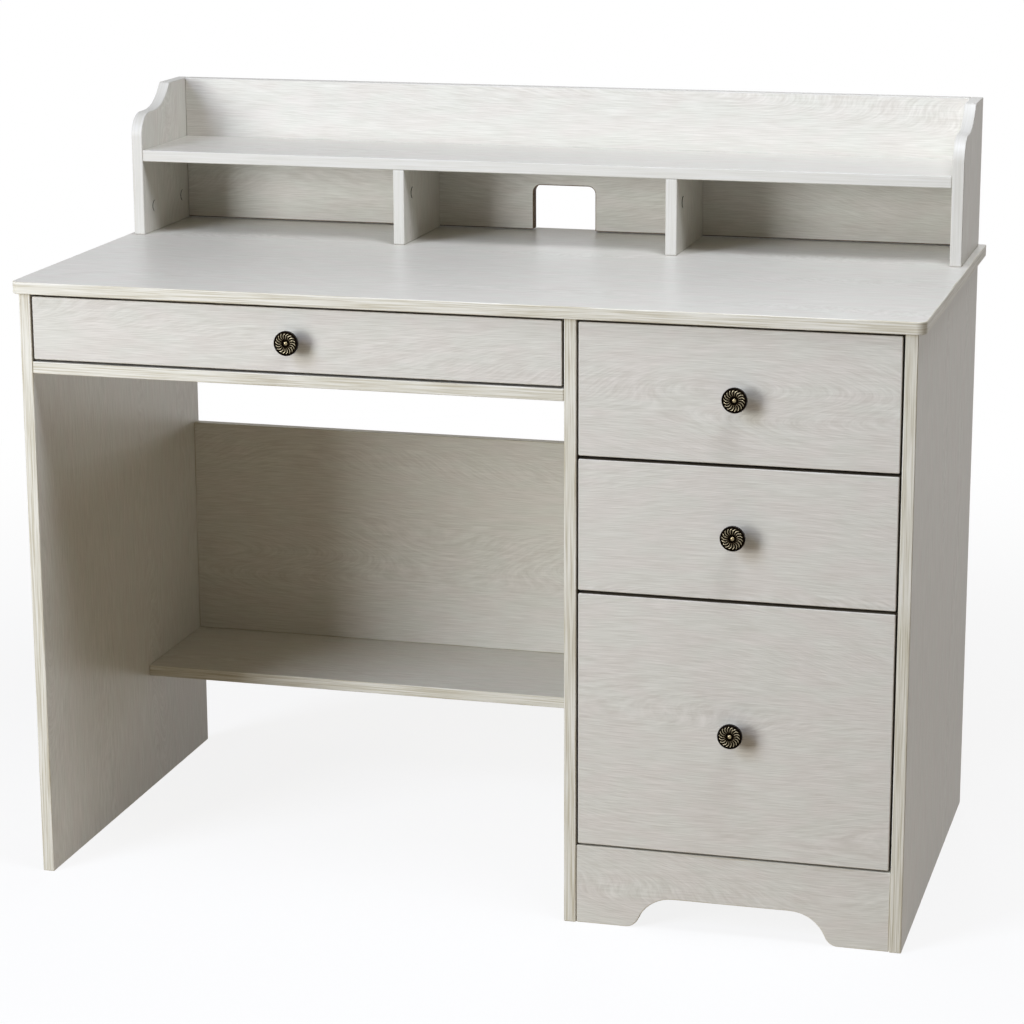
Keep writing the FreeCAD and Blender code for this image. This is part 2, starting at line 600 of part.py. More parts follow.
def make_hutch():
    """Hutch: two shaped ends, a notched back, a shelf and two dividers under it."""
    step = "(hutch_height - cove_rise)"
    cove = "(hutch_corner + hutch_step)"
    reach = "(cove_radius + cove_ease)"
    drop = "(cove_radius - cove_rise + cove_ease)"
    ease_run = f"sqrt({reach} ^ 2 - {drop} ^ 2)"
    profile = (
        ("0", "0"),
        ("hutch_depth", "0"),
        ("hutch_depth", "hutch_height"),
        (f"{cove} + {ease_run}", "hutch_height", "cove_ease", 1),
        (f"{cove} + {ease_run} * cove_radius / {reach}",
         f"{step} + cove_radius - {drop} * cove_radius / {reach}", "cove_radius", -1),
        (cove, step),
        ("hutch_corner", step, "hutch_corner", 1),
        ("0", f"{step} - hutch_corner"),
    )
    for label, at in (("hutch_left_end", LEFT_OUT), ("hutch_right_end", RIGHT_IN)):
        finish(label, padded(f"{label}_blank", "YZ_Plane", profile, "board",
                             (at, HUTCH_FRONT, "desk_height")))
    left = f"({HUTCH_WIDTH} / 2 - notch_width / 2)"
    right = f"({HUTCH_WIDTH} / 2 + notch_width / 2)"
    notch = "(notch_height - hutch_back_gap)"
    finish("hutch_back_panel", padded("hutch_back_blank", "XZ_Plane", (
        ("0", "0"),
        (left, "0"),
        (left, f"{notch} - notch_corner", "notch_corner", -1),
        (f"{left} + notch_corner", notch),
        (f"{right} - notch_corner", notch, "notch_corner", -1),
        (right, f"{notch} - notch_corner"),
        (right, "0"),
        (HUTCH_WIDTH, "0"),
        (HUTCH_WIDTH, "hutch_height - hutch_back_gap"),
        ("0", "hutch_height - hutch_back_gap"),
    ), "board", (LEFT_IN, f"{PANEL_REAR} - board", "desk_height + hutch_back_gap"), back=True))
    board("hutch_shelf", (LEFT_IN, HUTCH_FRONT, "desk_height + hutch_bay"),
          (HUTCH_WIDTH, HUTCH_INNER_DEPTH, "board"))
    for label, start in HUTCH_DIVIDERS:
        board(label, (start, HUTCH_FRONT, "desk_height"), ("board", HUTCH_INNER_DEPTH, "hutch_bay"))


# Drawers: name, carcass faces left and right of it, lower edge and height of its front, and how far its box
# stays above that edge and below the upper one
MIDDLE_FOOT = f"({UNDER_TOP} - front_end_gap - 2 * shallow_front - front_gap)"
FILE_FOOT = "(kick_height + front_end_gap)"
KNEE = (("left_side_panel", LEFT_IN), ("divider_panel", DIVIDER_LEFT))
PEDESTAL = (("divider_panel", DIVIDER_RIGHT), ("right_side_panel", RIGHT_IN))
DRAWERS = (
    ("pencil_drawer", KNEE, f"({PENCIL_SHELF_TOP} + front_end_gap)", "(pencil_opening - 2 * front_end_gap)",
     "pencil_box_lift", "pencil_box_drop"),
    ("upper_drawer", PEDESTAL, f"({UNDER_TOP} - front_end_gap - shallow_front)", "shallow_front",
     "box_lift", "shallow_box_drop"),
    ("middle_drawer", PEDESTAL, MIDDLE_FOOT, "shallow_front", "box_lift", "shallow_box_drop"),
    ("file_drawer", PEDESTAL, FILE_FOOT, f"({MIDDLE_FOOT} - front_gap - {FILE_FOOT})",
     "box_lift", "file_box_drop"),
)


def make_drawer(name, walls, foot, height, lift, drop):
    """One drawer: front, box, knob, screws, runners and their rollers."""
    (left_wall, left), (right_wall, right) = walls
    low = f"({foot} + {lift})"
    box_height = f"({height} - {lift} - {drop})"
    side_left = f"({left} + runner_space)"
    side_right = f"({right} - runner_space)"
    inner_left = f"({side_left} + drawer_board)"
    inner_width = f"({side_right} - drawer_board - {inner_left})"
    box_rear = f"({BOX_FRONT} + {DRAWER_DEPTH})"
    groove_floor = f"({low} + groove_lift)"
    groove_length = f"({DRAWER_DEPTH} - drawer_board + 2 * groove_depth)"
    groove_width = f"({inner_width} + 2 * groove_depth)"
    for piece in ("front", "left_side", "right_side", "back"):
        cutter(f"{name}_{piece}", block("groove", (
            f"{inner_left} - groove_depth", f"{BOX_FRONT} - groove_depth", groove_floor),
            (groove_width, groove_length, "bottom_sheet + groove_fit")))
    middle = (f"({left} + {right}) / 2", PANEL_FRONT, f"{foot} + {height} / 2")
    screws = f"{name}_screws"
    seat = moved(middle, "+y", "board")
    drive_screw(screws, "knob_screw", f"{name}_front", seat, "-y")
    hang_drawer(name, left_wall, left, "left", low, screws)
    hang_drawer(name, right_wall, right, "right", low, screws)
    board(f"{name}_front", (f"{left} + front_side_gap", PANEL_FRONT, foot),
          (f"{right} - {left} - 2 * front_side_gap", "board", height))
    for piece, at in (("left_side", side_left), ("right_side", f"{side_right} - drawer_board")):
        board(f"{name}_{piece}", (at, BOX_FRONT, low), ("drawer_board", DRAWER_DEPTH, box_height))
    board(f"{name}_back", (inner_left, f"{box_rear} - drawer_board", low),
          (inner_width, "drawer_board", box_height))
    board(f"{name}_bottom", (f"{inner_left} - groove_depth + groove_fit",
                             f"{BOX_FRONT} - groove_depth + groove_fit", groove_floor),
          (f"{groove_width} - 2 * groove_fit", f"{groove_length} - 2 * groove_fit", "bottom_sheet"))
    nodes[f"{name}_knob"] = copy_of(knob, middle, facing("-y"))
    for kind in ("screws", "runners", "front_rollers", "rear_rollers"):
        group_of(f"{name}_{kind}", fittings[f"{name}_{kind}"])


def hang_drawer(name, wall, at, side, low, screws):
    """Runners, rollers and runner screws on one side of a drawer."""
    inward = {"left": "+x", "right": "-x"}[side]
    corner = (at, RUNNER_FRONT, low)
    fittings["carcass_runners"].append(copy_of(carcass_runner[side], corner))
    fittings.setdefault(f"{name}_runners", []).append(copy_of(drawer_runner[side], corner))
    axis = moved(corner, inward, "runner_space / 2")
    for kind, along, up in (("front_rollers", "roller_end", FRONT_ROLLER),
                            ("rear_rollers", f"{RUNNER_LENGTH} - roller_end", REAR_ROLLER)):
        centre = moved(moved(axis, "+y", along), "+z", up)
        fittings.setdefault(f"{name}_{kind}", []).append(copy_of(roller, centre))
    for along in SCREW_PLACES:
        start = moved(corner, "+y", along)
        in_wall = moved(moved(start, "+z", CARCASS_SCREW), inward, "runner_sheet")
        drive_screw("runner_screws", "carcass_screw", wall, in_wall, reversed_axis(inward))
        in_side = moved(moved(start, "+z", DRAWER_SCREW), inward, "runner_space - runner_sheet")
        drive_screw(screws, "drawer_screw", f"{name}_{side}_side", in_side, inward)


join_carcass()
for drawer in DRAWERS:
    make_drawer(*drawer)
make_desk()
make_hutch()
for label in ("cam_locks", "cam_bolts", "runner_screws", "carcass_runners"):
    group_of(label, fittings[label])
for label, item in nodes.items():
    item.Label = label
doc.recompute()

failed = [item.Label for item in doc.Objects if "Invalid" in item.State or "Error" in item.State]
if failed:
    raise RuntimeError(f"did not recompute: {failed}")
for label, item in nodes.items():
    shape = Part.getShape(item)
    if shape.isNull() or not shape.isValid() or not shape.Solids:
        raise RuntimeError(f"{label} has no valid solid")

os.makedirs("parts", exist_ok=True)
for label, item in nodes.items():
    Part.getShape(item).exportStep(f"parts/{label}.step")
print(f"{len(nodes)} nodes")
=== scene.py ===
import json

import bpy
import numpy as np
from mathutils import Matrix, Vector

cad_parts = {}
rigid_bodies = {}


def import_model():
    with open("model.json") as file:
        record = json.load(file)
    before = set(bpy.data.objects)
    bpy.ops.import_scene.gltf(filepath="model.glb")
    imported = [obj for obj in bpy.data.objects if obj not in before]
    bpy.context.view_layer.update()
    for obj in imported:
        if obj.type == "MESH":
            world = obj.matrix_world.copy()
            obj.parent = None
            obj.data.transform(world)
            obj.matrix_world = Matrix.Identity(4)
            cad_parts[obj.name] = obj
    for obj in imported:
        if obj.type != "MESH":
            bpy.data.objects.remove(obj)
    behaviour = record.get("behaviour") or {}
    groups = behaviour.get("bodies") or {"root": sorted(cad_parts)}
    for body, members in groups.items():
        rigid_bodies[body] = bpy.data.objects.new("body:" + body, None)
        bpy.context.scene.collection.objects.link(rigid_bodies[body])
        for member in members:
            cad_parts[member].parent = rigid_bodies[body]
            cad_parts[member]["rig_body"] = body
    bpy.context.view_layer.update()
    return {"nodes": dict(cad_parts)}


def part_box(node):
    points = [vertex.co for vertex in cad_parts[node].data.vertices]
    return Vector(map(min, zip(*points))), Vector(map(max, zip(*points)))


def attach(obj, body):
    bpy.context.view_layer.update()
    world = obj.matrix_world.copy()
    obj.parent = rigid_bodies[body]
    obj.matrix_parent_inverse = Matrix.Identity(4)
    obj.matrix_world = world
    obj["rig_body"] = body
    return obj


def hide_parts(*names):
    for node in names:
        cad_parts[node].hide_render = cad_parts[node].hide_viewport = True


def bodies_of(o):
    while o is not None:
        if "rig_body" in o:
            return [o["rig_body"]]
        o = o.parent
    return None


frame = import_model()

# Looks of a student desk with a hutch: whitewashed oak laminate boards, bronze rosette knobs and
# roller runners. Sizes are in millimetres and become metres through MM. Places come from the boxes
# of the frame's nodes.
MM = 0.001

# Boards
EDGE_RADIUS = 1.3 * MM       # softened edge of a board
CORNER_RADIUS = 1.8 * MM     # corner of a board's outline, wider than its softened edge
EDGE_STEPS = 3               # facets in a quarter of the softened edge
ARC_STEPS = 9                # facets in each rounded corner
TOP_CORNER = 12 * MM         # front corners of the desktop
ARCH_FOOT = 61 * MM          # foot of the kick plate on each side of its arch
ARCH_RISE = 40 * MM
ARCH_RADII = (18 * MM, 47 * MM)   # toe of the foot, and haunch of the arch
SHOULDER = 30 * MM           # rounded shoulder of a hutch end
STEP = 14 * MM               # flat step behind the shoulder
COVE_RISE = 31 * MM
COVE_RADII = (74 * MM, 6 * MM)    # cove, and the ease at its top
NOTCH_HALF = 42.5 * MM       # half width of the cable notch
NOTCH_TOP = 825 * MM         # top of the notch above the floor
NOTCH_CORNER = 10 * MM
SMOOTH_JOIN = 0.98           # keeps two arcs of an S just apart, so that no face has zero width

# Printed grain
GRAIN_SHIFT = (1.37, 0.83)   # metres from one board's stretch of the print to the next one's
GRAIN_SHEET = (5.0, 3.0)     # metres of print after which the stretches start again
SLOPE_RINGS = 16.0           # growth rings that the slope counts in the width of one dash
FIELD_RINGS = 190.0          # growth rings that the slow field counts from its lowest value to its highest
STREAK_SHARE = 0.4           # share of plain streaks in the figure; the rest is pores along the rings

# Knobs
KNOB_AROUND = 288            # facets round a knob
KNOB_RING = 0.45 * MM        # distance between the rings of a knob's surface
KNOB_FACE = 18 * MM          # height above which a knob's surface is its face
RIDGES = 18
RIDGE_HEIGHT = 1.5 * MM
RIDGE_SIDES = (0.42, 0.82)   # heights of a plain wave at which a ridge starts and levels off
RIDGE_SPAN = (4.4 * MM, 13.1 * MM)   # radii of a ridge's two ends
RIDGE_TIP = 0.1              # share of the span over which a ridge falls off at its ends
RIDGE_WORN = (0.3, 0.36)     # how far a ridge is rubbed at its inner end, and what its outer end adds
SWIRL = 0.2                  # radians that a ridge ends clockwise of its start
BULGE = 0.16                 # radians that its middle lies anticlockwise of its ends
BEAD = 2.5 * MM              # radius of the bead in the middle
BEAD_WORN = 0.9
PATINA = 0.2                 # how much the cloudy patina adds to the wear
KNOB_PROFILE = (
    # radius, height, corner radius: foot, neck, flare, rim, dished face, groove and bead
    (0.2, 0.0, 0.05), (8.0, 0.0, 0.3), (8.0, 2.2, 0.9), (5.6, 4.6, 1.6), (5.6, 9.4, 3.0),
    (13.6, 15.2, 1.6), (15.0, 16.8, 0.9), (15.0, 20.8, 0.9), (14.3, 22.0, 0.6), (13.5, 22.0, 0.4),
    (13.0, 20.2, 0.4), (4.6, 19.8, 0.3), (4.3, 19.0, 0.3), (2.7, 19.0, 0.25), (2.6, 21.5, 1.9),
    (0.2, 21.5, 0.05),
)

# Rollers
ROLLER_AROUND = 64           # facets round a roller
ROLLER_WIDTH = 6.5 / 19      # width of a roller as a share of its diameter
ROLLER_HALF = (
    # radius, depth from the roller's side, corner radius: hub, dished web and tyre
    (2.7, 0.0, 0.2), (4.9, 0.0, 0.3), (5.4, 0.9, 0.3), (7.6, 0.9, 0.3), (8.0, 0.2, 0.3), (9.5, 0.2, 0.9),
)
SHARP_TURN = 40              # degrees between two faces from which their edge stays sharp

# Cam heads
CAM_COUNT = 28
CAM_BOARDS = (
    "left_side_panel", "divider_panel", "right_side_panel", "pencil_drawer_shelf", "modesty_panel",
    "foot_shelf", "pedestal_bottom_panel", "pedestal_back_panel", "kick_plate", "hutch_shelf",
    "hutch_back_panel", "hutch_left_end", "hutch_right_end", "hutch_left_divider", "hutch_right_divider",
)
HEAD_AROUND = 40             # facets round a cam's head
HEAD_HEIGHT = 1.1 * MM       # how far a cam's head stands out of its board
HEAD_SUNK = 0.3 * MM         # how far it reaches into the board
HEAD_EASE = 0.1 * MM         # its softened edge
HEAD_POLE = 0.2 * MM         # radius of the small face that closes it on its axis
FLUSH = 0.1 * MM             # a cam's end this near to a board's face lies in that face

DRAWERS = ("pencil_drawer", "upper_drawer", "middle_drawer", "file_drawer")

# Camera, fitted to the corners of the desk. Angles are in degrees.
CAMERA_PLACE = (1.0073, -3.6862, 1.4032)
CAMERA_YAW = 15.295          # towards -X
CAMERA_PITCH = 14.122        # down
CAMERA_ROLL = -0.2327
LENS = 107.95
SENSOR = 36.0

# Stage
WHITE = "#FFFFFF"
FLOOR_HALF = 6.0             # metres from the middle of the floor to its sides
FLOOR_PAPER = "#F9F9F9"      # paper of the floor, which takes the desk's shadow
FLOOR_BOUNCE = "#AA9A80"     # what the floor sends back to the desk
FLOOR_WHITE = 0.86           # share of plain white in the floor near the desk; the rest shows its shadow
FADE = (0.9, 2.6)            # metres from the middle over which the floor turns to plain white
WORLD_LEVEL = 0.075
WORLD_TINT = "#FFD68F"       # warm light in the recesses, as pale boards send back to each other
LAMP_AIM = (0, 0, 0.45)      # middle of the desk
LAMPS = {
    # place, side in metres, watts, colour
    "low_key": ((-2.45, -3.3, 1.25), 1.6, 114.0, "#F5F9FF"),
    "high_key": ((-3.6, -4.8, 4.6), 2.4, 215.0, "#D6E2FF"),
    "top": ((0.7, -0.55, 2.4), 0.8, 30.0, "#ECF2FF"),
    "back": ((-0.2, 3.6, 0.45), 0.6, 60.0, "#F1F5FF"),
}

# For each facing: the world axes of a piece's own first, second and height direction, and the
# height's sign.
FRAMES = {
    "+x": (1, 2, 0, 1), "-x": (2, 1, 0, -1),
    "+y": (2, 0, 1, 1), "-y": (0, 2, 1, -1),
    "+z": (0, 1, 2, 1), "-z": (1, 0, 2, -1),
}


def box_of(node):
    """Lowest and highest corner of a node, as arrays."""
    low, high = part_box(node)
    return np.array(low), np.array(high)


def body_of(node):
    """Name of the body that a node rides on."""
    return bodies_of(frame["nodes"][node])[0]


def facing_world(local, facing):
    """World points of a piece's own points: each own axis goes to the world axis that FRAMES gives."""
    first, second, height, sign = FRAMES[facing]
    world = np.empty_like(local)
    world[..., first] = local[..., 0]
    world[..., second] = local[..., 1]
    world[..., height] = sign * local[..., 2]
    return world


def rounded(corners):
    """Closed outline with rounded corners, and its outward normals, both (corner, step, 2).

    Corners are (p, q, radius), anticlockwise. Each arc starts a tangent length before its corner. With
    d the direction into the corner, n the normal on the side it turns to and t the angle turned so far,
    it runs as start + radius * (sin t * d + (1 - cos t) * n). Straight sides join one arc to the next.
    """
    corners = np.asarray(corners, float)
    at = corners[:, :2]
    radius = corners[:, 2:]
    into = at - np.roll(at, 1, axis=0)
    into /= np.linalg.norm(into, axis=1, keepdims=True)
    out = np.roll(into, -1, axis=0)
    turn = np.arctan2(into[:, 0] * out[:, 1] - into[:, 1] * out[:, 0], (into * out).sum(axis=1))
    side = np.stack([-into[:, 1], into[:, 0]], axis=1) * np.sign(turn)[:, None]
    start = at - into * radius * np.tan(np.abs(turn) / 2)[:, None]
    angle = (np.abs(turn)[:, None] * np.linspace(0, 1, ARC_STEPS + 1))[..., None]
    into, side = into[:, None], side[:, None]
    points = start[:, None] + radius[:, None] * (np.sin(angle) * into + (1 - np.cos(angle)) * side)
    along = np.cos(angle) * into + np.sin(angle) * side
    return points, np.stack([along[..., 1], -along[..., 0]], axis=-1)


def s_corners(radii, rise):
    """Reach of an S of two tangent arcs between parallel lines, and how far in each of its corners lies.

    The arcs turn by t with (r1 + r2) * (1 - cos t) = rise, the S is (r1 + r2) * sin t long, and each
    corner is a tangent length r * tan(t / 2) from the S's end.
    """
    turn = np.arccos(1 - rise / sum(radii))
    reach = sum(radii) * np.sin(turn)
    return reach, radii[0] * np.tan(turn / 2), radii[1] * np.tan(turn / 2)


def skin(rings, loop=False):
    """Faces over a stack of closed rings: quads from each ring to the next, then an end face on the
    first and the last ring. Where the stack is a loop, quads go from the last ring to the first
    instead."""
    count, around = rings.shape[:2]
    index = np.arange(count * around).reshape(count, around)
    lower = index if loop else index[:-1]
    upper = np.roll(index, -1, axis=0) if loop else index[1:]
    quads = np.stack([lower, np.roll(lower, -1, axis=1), np.roll(upper, -1, axis=1), upper], axis=-1)
    ends = [] if loop else [index[0, ::-1].tolist(), index[-1].tolist()]
    return quads.reshape(-1, 4).tolist() + ends


def add_piece(name, points, faces, materials, nodes):
    """One mesh object that stands for CAD nodes and rides on their body."""
    mesh = bpy.data.meshes.new(name)
    mesh.from_pydata(points.reshape(-1, 3).tolist(), [], faces)
    for material in materials:
        mesh.materials.append(material)
    mesh.shade_smooth()
    piece = bpy.data.objects.new(name, mesh)
    bpy.context.scene.collection.objects.link(piece)
    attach(piece, body_of(nodes[0]))
    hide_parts(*nodes)
    return piece


# Materials

def colour(text):
    """sRGB hex to linear RGBA."""
    value = np.array([int(text[start:start + 2], 16) for start in (1, 3, 5)]) / 255
    linear = np.where(value <= 0.04045, value / 12.92, ((value + 0.055) / 1.055) ** 2.4)
    return (*linear.tolist(), 1.0)


def add(tree, kind, inputs=None, stops=(), **settings):
    """Adds a node with its settings. An input is a socket to link from or a plain value. The stops of
    a colour ramp are positions and hex colours."""
    made = tree.nodes.new(f"ShaderNode{kind}")
    for key, value in settings.items():
        setattr(made, key, value)
    for key, value in (inputs or {}).items():
        if isinstance(value, bpy.types.NodeSocket):
            tree.links.new(value, made.inputs[key])
        else:
            made.inputs[key].default_value = value
    for _ in stops[2:]:
        made.color_ramp.elements.new(1.0)
    for index, (position, text) in enumerate(stops):
        made.color_ramp.elements[index].position = position
        made.color_ramp.elements[index].color = colour(text)
    return made


def new_material(name):
    """A material with its tree and its shader."""
    material = bpy.data.materials.new(name)
    material.use_nodes = True
    return material, material.node_tree, material.node_tree.nodes["Principled BSDF"]


def per(*sizes):
    """Scale of a Mapping for features of these sizes in millimetres."""
    return tuple(1 / (size * MM) for size in sizes)


def oak_laminate():
    """Whitewashed oak laminate: printed melamine with a fine pearl emboss. It gives fine pale lines that
    run along the board and close into nested arches here and there, a faint drift of tint, and a satin
    sheen that mirrors bright edges at a low angle."""
    material, tree, shader = new_material("whitewashed_oak_laminate")
    place = add(tree, "UVMap", uv_map="grain").outputs[0]
    # Growth rings are the contour lines of a slope across the board and a slow field. They run straight
    # along the board where the slope is the steeper one, and close into nested arches where the field is.
    ring_place = add(tree, "Mapping", {"Vector": place, "Scale": per(650, 120, 1)})
    field = add(tree, "TexNoise", {"Vector": ring_place.outputs[0], "Scale": 1.0, "Detail": 0.4},
                noise_dimensions="2D").outputs[0]
    # The pores' noise counts rings in its third direction, so its dashes run along them.
    dash_place = add(tree, "Mapping", {"Vector": place, "Scale": per(30, 15, 1)})
    dash_axes = add(tree, "SeparateXYZ", {0: dash_place.outputs[0]}).outputs
    slope = add(tree, "Math", {0: dash_axes[1], 1: SLOPE_RINGS}, operation="MULTIPLY").outputs[0]
    count = add(tree, "Math", {0: field, 1: FIELD_RINGS, 2: slope}, operation="MULTIPLY_ADD").outputs[0]
    pore_place = add(tree, "CombineXYZ", {0: dash_axes[0], 1: dash_axes[1], 2: count}).outputs[0]
    pores = add(tree, "TexNoise", {"Vector": pore_place, "Scale": 1.0, "Detail": 2.5,
                                   "Roughness": 0.62}).outputs[0]
    streak_place = add(tree, "Mapping", {"Vector": place, "Scale": per(50, 1.3, 1)})
    streaks = add(tree, "TexNoise", {"Vector": streak_place.outputs[0], "Scale": 1.0, "Detail": 2.0},
                  noise_dimensions="2D").outputs[0]
    figure = add(tree, "Mix", {0: STREAK_SHARE, 2: pores, 3: streaks}).outputs[0]
    tone = add(tree, "ValToRGB", {0: figure},
               stops=[(0.36, "#C8C4B9"), (0.5, "#D2CFC5"), (0.68, "#DEDBD2")]).outputs[0]
    drift_place = add(tree, "Mapping", {"Vector": place, "Scale": per(60, 24, 1)})
    drift = add(tree, "TexNoise", {"Vector": drift_place.outputs[0], "Scale": 1.0, "Detail": 1.0},
                noise_dimensions="2D").outputs[0]
    tint = add(tree, "ValToRGB", {0: drift}, stops=[(0.35, "#FEFFFE"), (0.65, "#FFFDFD")]).outputs[0]
    print_colour = add(tree, "Mix", {0: 1.0, 6: tone, 7: tint},
                       data_type="RGBA", blend_type="MULTIPLY").outputs[2]
    tree.links.new(print_colour, shader.inputs["Base Color"])
    rough = add(tree, "MapRange", {"Value": figure, "To Min": 0.4, "To Max": 0.3}).outputs[0]
    tree.links.new(rough, shader.inputs["Roughness"])
    # A real pearl emboss is a few tenths of a millimetre. It is drawn coarser, so that it shows.
    pearl_place = add(tree, "TexCoord").outputs["Object"]
    pearl = add(tree, "TexNoise", {"Vector": pearl_place, "Scale": per(1.6)[0], "Detail": 1.0}).outputs[0]
    bump = add(tree, "Bump", {"Height": pearl, "Strength": 0.1, "Distance": 0.2 * MM})
    tree.links.new(bump.outputs[0], shader.inputs["Normal"])
    shader.inputs["Specular IOR Level"].default_value = 0.27
    return material


def edge_band(name, lines, middle, pale, rough):
    """Oak-print edge band, ironed on. It gives fine broken lines along the edge of a board."""
    material, tree, shader = new_material(name)
    place = add(tree, "UVMap", uv_map="grain").outputs[0]
    line_place = add(tree, "Mapping", {"Vector": place, "Scale": per(105, 1.8, 1)})
    grain = add(tree, "TexNoise", {"Vector": line_place.outputs[0], "Scale": 1.0, "Detail": 3.0,
                                   "Roughness": 0.6}, noise_dimensions="2D").outputs[0]
    tone = add(tree, "ValToRGB", {0: grain}, stops=[(0.33, lines), (0.5, middle), (0.66, pale)])
    tree.links.new(tone.outputs[0], shader.inputs["Base Color"])
    bump = add(tree, "Bump", {"Height": grain, "Strength": 0.08, "Distance": 0.2 * MM})
    tree.links.new(bump.outputs[0], shader.inputs["Normal"])
    shader.inputs["Roughness"].default_value = rough
    return material


def speckled(name, pale, dark, speck, rough, relief):
    """A finish with an even fleck on Object coordinates, by its two colours, the size of its fleck in
    millimetres, its roughness and its relief."""
    material, tree, shader = new_material(name)
    place = add(tree, "TexCoord").outputs["Object"]
    fleck = add(tree, "TexNoise", {"Vector": place, "Scale": per(speck)[0], "Detail": 3.0}).outputs[0]
    tone = add(tree, "ValToRGB", {0: fleck}, stops=[(0.35, dark), (0.62, pale)])
    tree.links.new(tone.outputs[0], shader.inputs["Base Color"])
    bump = add(tree, "Bump", {"Height": fleck, "Strength": relief, "Distance": 0.15 * MM})
    tree.links.new(bump.outputs[0], shader.inputs["Normal"])
    shader.inputs["Roughness"].default_value = rough
    return material


def zinc_plate():
    """Zinc-plated steel: dull grey metal with a faint cloudy bloom."""
    material, tree, shader = new_material("zinc_plated_steel")
    place = add(tree, "TexCoord").outputs["Object"]
    bloom = add(tree, "TexNoise", {"Vector": place, "Scale": per(3)[0], "Detail": 2.0}).outputs[0]
    tone = add(tree, "ValToRGB", {0: bloom}, stops=[(0.3, "#8F9194"), (0.7, "#B4B5B6")])
    tree.links.new(tone.outputs[0], shader.inputs["Base Color"])
    rough = add(tree, "MapRange", {"Value": bloom, "To Min": 0.3, "To Max": 0.5}).outputs[0]
    tree.links.new(rough, shader.inputs["Roughness"])
    shader.inputs["Metallic"].default_value = 1.0
    return material


def antique_bronze():
    """Antique bronze plating on a casting: near black in the hollows, rubbed to brown brass on the ridges
    and the bead, so that the rosette reads by its worn high places."""
    material, tree, shader = new_material("antique_bronze_casting")
    worn = add(tree, "Attribute", attribute_name="worn").outputs["Fac"]
    place = add(tree, "TexCoord").outputs["Object"]
    patina = add(tree, "TexNoise", {"Vector": place, "Scale": per(2.2)[0], "Detail": 3.0}).outputs[0]
    blend = add(tree, "Math", {0: patina, 1: PATINA, 2: worn}, operation="MULTIPLY_ADD").outputs[0]
    tone = add(tree, "ValToRGB", {0: blend},
               stops=[(0.1, "#0A0603"), (0.4, "#392D1C"), (0.76, "#ABA085"), (0.95, "#8F8265")])
    tree.links.new(tone.outputs[0], shader.inputs["Base Color"])
    rough = add(tree, "MapRange", {"Value": blend, "To Min": 0.5, "To Max": 0.15}).outputs[0]
    tree.links.new(rough, shader.inputs["Roughness"])
    shader.inputs["Metallic"].default_value = 1.0
    return material


OAK = oak_laminate()
# The desk's edges show beige lines, and the hutch's are nearly plain. Round the drawer fronts the band
# is painted dark: painted shade for the shadow in the gaps between the drawers, so that they read as dark
# lines.
BEIGE_BAND = edge_band("beige_oak_edge_band", "#BAB29B", "#D2CEBE", "#E0DDD1", 0.42)
PALE_BAND = edge_band("pale_oak_edge_band", "#C3C0B5", "#C9C6BC", "#CDCAC2", 0.45)
GAP_SHADE_BAND = edge_band("painted_gap_shade_edge_band", "#5A5040", "#6E6454", "#827866", 0.6)
# Sawn particle board shows rough brown chips. On the hutch back's lower edge the brown is painted shade as
# well: it stands in for the dark shadow line under the back.
RAW_BOARD_AND_SHADE = speckled("raw_particle_board_and_painted_shade", "#8A7760", "#4F4030", 1.6, 0.9, 0.8)
# Drawer boxes are wrapped in plain off-white paper, and their bottoms are smooth pale hardboard.
FOIL = speckled("paper_foil_drawer_board", "#D6D3CC", "#D1CEC6", 5, 0.55, 0.1)
HARDBOARD = speckled("faced_hardboard", "#CEC9BF", "#C2BDB1", 3, 0.6, 0.15)
# Runners have a white powder coat with a fine orange-peel, and rollers the soft shine of moulded nylon.
EPOXY = speckled("epoxy_coated_steel", "#E6E5E1", "#DDDCD8", 1.2, 0.35, 0.25)
NYLON = speckled("moulded_nylon", "#E9E7E0", "#DEDBD2", 2, 0.45, 0.1)
# A cam's head hides under a foil of the boards' colour. Its side is painted dark: painted shade that
# stands in for the shadow crescent in a cam's bore.
COVER_FOIL = speckled("cover_foil", "#D5D2C9", "#CDCABF", 2, 0.4, 0.1)
BORE_SHADE_PAINT = speckled("painted_bore_shade", "#3F3A32", "#2C2822", 2, 0.5, 0.2)
ZINC = zinc_plate()
BRONZE = antique_bronze()


# Boards

def rectangle(low, high, radii=(CORNER_RADIUS,) * 4):
    """Corners of a rectangle, anticlockwise from its lowest one."""
    return [(low[0], low[1], radii[0]), (high[0], low[1], radii[1]),
            (high[0], high[1], radii[2]), (low[0], high[1], radii[3])]


def desktop_corners(low, high):
    """The desktop's outline, with wider front corners."""
    return rectangle(low, high, (TOP_CORNER, TOP_CORNER, CORNER_RADIUS, CORNER_RADIUS))


def kick_plate_corners(low, high):
    """The kick plate's outline: a foot at each end and an arch with S-shaped haunches between them."""
    toe, haunch = (radius * SMOOTH_JOIN for radius in ARCH_RADII)
    reach, toe_in, haunch_in = s_corners(ARCH_RADII, ARCH_RISE)
    left, right, top = low[0] + ARCH_FOOT, high[0] - ARCH_FOOT, low[1] + ARCH_RISE
    return [(low[0], low[1], CORNER_RADIUS),
            (left + toe_in, low[1], toe), (left + reach - haunch_in, top, haunch),
            (right - reach + haunch_in, top, haunch), (right - toe_in, low[1], toe),
            (high[0], low[1], CORNER_RADIUS), (high[0], high[1], CORNER_RADIUS),
            (low[0], high[1], CORNER_RADIUS)]


